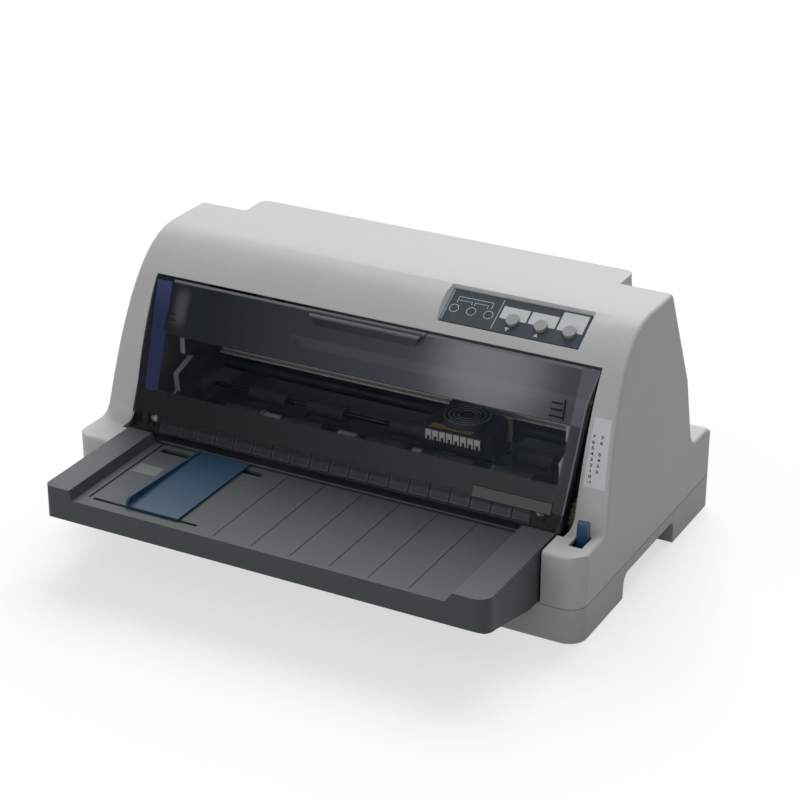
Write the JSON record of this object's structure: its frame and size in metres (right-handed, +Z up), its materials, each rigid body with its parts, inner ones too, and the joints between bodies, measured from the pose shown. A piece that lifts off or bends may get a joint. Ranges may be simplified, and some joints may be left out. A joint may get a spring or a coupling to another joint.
{
  "type": "dot matrix printer",
  "caption": "Flat-bed dot matrix printer with a smoked hinged front cover, front paper tray, print carriage, gear-driven rollers and rear pin-feed tractors.",
  "frame": {"origin": "under the middle of the box around the printer, on the surface it stands on", "axes": "+X to the printer's right as seen from the front, +Y to its back, +Z up"},
  "size_m": [0.386, 0.306, 0.185],
  "materials": {
    "case_light": "matte",
    "tray_grey": "matte",
    "base_grey": "matte",
    "foot_rubber": "matte",
    "guide_blue": "satin",
    "lever_blue": "satin",
    "smoked_cover": "gloss",
    "smoked_ribs": "satin",
    "name_plate": "satin",
    "scale_paper": "matte",
    "panel_slate": "satin",
    "lens": "gloss",
    "button_grey": "satin",
    "board_green": "satin",
    "black_plastic": "matte",
    "sheet_steel": "satin",
    "zinc_steel": "satin",
    "shaft_steel": "polished",
    "gear_acetal": "satin",
    "brass_pinion": "satin",
    "roller_rubber": "matte",
    "head_aluminium": "satin",
    "terminal_white": "satin",
    "belt_rubber": "matte",
    "mask_steel": "satin",
    "cream_steel": "satin"
  },
  "bodies": {
    "case": {"lower_case": "base_grey", "upper_case": "case_light", "rubber_feet": "foot_rubber", "front_tray": "tray_grey", "scale_label": "scale_paper", "panel_plate": "panel_slate", "indicator_lenses": "lens", "panel_board": "board_green", "rocker_housing": "black_plastic", "ac_inlet": "black_plastic", "parallel_port": "zinc_steel", "usb_port": "zinc_steel", "main_board": "board_green", "power_supply": "sheet_steel", "chassis": "sheet_steel", "side_frame_left": "sheet_steel", "side_frame_right": "sheet_steel", "front_paper_guide": "black_plastic", "rear_paper_guide": "black_plastic", "platen": "roller_rubber", "carriage_shaft": "shaft_steel", "carriage_rail": "cream_steel", "carriage_motor": "zinc_steel", "timing_belt": "belt_rubber", "feed_motor": "zinc_steel", "tractor_rail": "shaft_steel", "case_screws": "zinc_steel"},
    "edge_guide": {"edge_guide": "guide_blue"},
    "front_cover": {"front_cover": "smoked_cover", "cover_guide_ribs": "smoked_ribs", "cover_name_plate": "name_plate"},
    "rear_cover": {"rear_cover": "case_light"},
    "thickness_lever": {"thickness_lever": "lever_blue"},
    "button_left": {"button_left": "button_grey"},
    "button_middle": {"button_middle": "button_grey"},
    "button_right": {"button_right": "button_grey"},
    "power_rocker": {"power_rocker": "black_plastic"},
    "carriage": {"carriage": "black_plastic", "print_head": "head_aluminium", "head_connector": "terminal_white", "ribbon_mask": "mask_steel", "carriage_bracket": "cream_steel"},
    "drive_pulley": {"drive_pulley": "gear_acetal"},
    "idler_pulley": {"idler_pulley": "gear_acetal"},
    "front_roller": {"front_feed_roller": "roller_rubber", "front_roller_gear": "gear_acetal"},
    "rear_roller": {"rear_feed_roller": "roller_rubber", "rear_roller_gear": "gear_acetal"},
    "front_pinch": {"front_pinch_rollers": "roller_rubber"},
    "rear_pinch": {"rear_pinch_rollers": "roller_rubber"},
    "motor_pinion": {"motor_pinion": "brass_pinion"},
    "feed_idler": {"feed_idler_gear": "gear_acetal"},
    "tractor_idler": {"tractor_idler_gear": "gear_acetal"},
    "tractor_shaft": {"tractor_shaft": "shaft_steel"},
    "tractor_left": {"tractor_frame_left": "black_plastic"},
    "tractor_right": {"tractor_frame_right": "black_plastic"},
    "tractor_wheel_left": {"tractor_wheel_left": "gear_acetal"},
    "tractor_wheel_right": {"tractor_wheel_right": "gear_acetal"},
    "tractor_lid_left": {"tractor_lid_left": "black_plastic"},
    "tractor_lid_right": {"tractor_lid_right": "black_plastic"}
  },
  "joints": [
    {"name": "edge_guide_slide", "type": "slide", "parent": "case", "child": "edge_guide", "axis": [1, 0, 0], "range_m": [-0.026, 0.02]},
    {"name": "front_cover_hinge", "type": "hinge", "parent": "case", "child": "front_cover", "pos_m": [0, -0.0425, 0.0705], "axis": [1, 0, 0], "range_deg": [0, 105]},
    {"name": "rear_cover_hinge", "type": "hinge", "parent": "case", "child": "rear_cover", "pos_m": [0, 0.0965, 0.168], "axis": [1, 0, 0], "range_deg": [0, 75]},
    {"name": "thickness_lever_turn", "type": "hinge", "parent": "case", "child": "thickness_lever", "pos_m": [0.1814, -0.0499, 0.034], "axis": [1, 0, 0], "range_deg": [0, 18]},
    {"name": "button_left_press", "type": "slide", "parent": "case", "child": "button_left", "axis": [0, 0.5, -0.866], "range_m": [0, 0.001], "stiffness_N_per_m": 400, "springref_m": -0.001},
    {"name": "button_middle_press", "type": "slide", "parent": "case", "child": "button_middle", "axis": [0, 0.5, -0.866], "range_m": [0, 0.001], "stiffness_N_per_m": 400, "springref_m": -0.001},
    {"name": "button_right_press", "type": "slide", "parent": "case", "child": "button_right", "axis": [0, 0.5, -0.866], "range_m": [0, 0.001], "stiffness_N_per_m": 400, "springref_m": -0.001},
    {"name": "power_rocker_tilt", "type": "hinge", "parent": "case", "child": "power_rocker", "pos_m": [-0.127, 0.1434, 0.04], "axis": [1, 0, 0], "range_deg": [0, 16]},
    {"name": "carriage_travel", "type": "slide", "parent": "case", "child": "carriage", "axis": [1, 0, 0], "range_m": [-0.172, 0.045]},
    {"name": "drive_pulley_spin", "type": "hinge", "parent": "case", "child": "drive_pulley", "pos_m": [-0.1312, 0.072, 0.08], "axis": [0, 0, 1], "range_deg": [-1232, 323]},
    {"name": "idler_pulley_spin", "type": "hinge", "parent": "case", "child": "idler_pulley", "pos_m": [0.1312, 0.072, 0.08], "axis": [0, 0, 1], "range_deg": [-1232, 323]},
    {"name": "rear_roller_spin", "type": "hinge", "parent": "case", "child": "rear_roller", "pos_m": [0, 0.038, 0.04787], "axis": [1, 0, 0], "continuous": true},
    {"name": "front_roller_spin", "type": "hinge", "parent": "case", "child": "front_roller", "pos_m": [0, 0.004, 0.04787], "axis": [1, 0, 0], "continuous": true},
    {"name": "front_pinch_spin", "type": "hinge", "parent": "case", "child": "front_pinch", "pos_m": [0, 0.004, 0.0636], "axis": [1, 0, 0], "continuous": true},
    {"name": "rear_pinch_spin", "type": "hinge", "parent": "case", "child": "rear_pinch", "pos_m": [0, 0.038, 0.0636], "axis": [1, 0, 0], "continuous": true},
    {"name": "motor_pinion_spin", "type": "hinge", "parent": "case", "child": "motor_pinion", "pos_m": [0.157, 0.04256, 0.02202], "axis": [1, 0, 0], "continuous": true},
    {"name": "feed_idler_spin", "type": "hinge", "parent": "case", "child": "feed_idler", "pos_m": [0.154, 0.021, 0.03554], "axis": [1, 0, 0], "continuous": true},
    {"name": "tractor_idler_spin", "type": "hinge", "parent": "case", "child": "tractor_idler", "pos_m": [0.154, 0.07327, 0.04063], "axis": [1, 0, 0], "continuous": true},
    {"name": "tractor_shaft_spin", "type": "hinge", "parent": "case", "child": "tractor_shaft", "pos_m": [0, 0.112, 0.04517], "axis": [1, 0, 0], "continuous": true},
    {"name": "tractor_left_slide", "type": "slide", "parent": "case", "child": "tractor_left", "axis": [1, 0, 0], "range_m": [-0.014, 0.06]},
    {"name": "tractor_right_slide", "type": "slide", "parent": "case", "child": "tractor_right", "axis": [1, 0, 0], "range_m": [-0.06, 0.03]},
    {"name": "tractor_wheel_left_spin", "type": "hinge", "parent": "tractor_left", "child": "tractor_wheel_left", "pos_m": [-0.112, 0.112, 0.04517], "axis": [1, 0, 0], "continuous": true},
    {"name": "tractor_wheel_right_spin", "type": "hinge", "parent": "tractor_right", "child": "tractor_wheel_right", "pos_m": [0.096, 0.112, 0.04517], "axis": [1, 0, 0], "continuous": true},
    {"name": "tractor_lid_left_open", "type": "hinge", "parent": "tractor_left", "child": "tractor_lid_left", "pos_m": [-0.1197, 0.112, 0.06037], "axis": [0, -1, 0], "range_deg": [0, 100]},
    {"name": "tractor_lid_right_open", "type": "hinge", "parent": "tractor_right", "child": "tractor_lid_right", "pos_m": [0.1037, 0.112, 0.06037], "axis": [0, 1, 0], "range_deg": [0, 100]}
  ],
  "couplings": [
    {"joint": "drive_pulley_spin", "follows": "carriage_travel", "rad_per_m": 125},
    {"joint": "idler_pulley_spin", "follows": "carriage_travel", "rad_per_m": 125},
    {"joint": "front_roller_spin", "follows": "rear_roller_spin", "ratio": 1},
    {"joint": "front_pinch_spin", "follows": "rear_roller_spin", "ratio": -1.5721},
    {"joint": "rear_pinch_spin", "follows": "rear_roller_spin", "ratio": -1.5721},
    {"joint": "motor_pinion_spin", "follows": "rear_roller_spin", "ratio": -2.5},
    {"joint": "feed_idler_spin", "follows": "rear_roller_spin", "ratio": -1},
    {"joint": "tractor_idler_spin", "follows": "rear_roller_spin", "ratio": -0.41176},
    {"joint": "tractor_shaft_spin", "follows": "rear_roller_spin", "ratio": 0.77778},
    {"joint": "tractor_wheel_left_spin", "follows": "rear_roller_spin", "ratio": 0.77778},
    {"joint": "tractor_wheel_right_spin", "follows": "rear_roller_spin", "ratio": 0.77778}
  ]
}
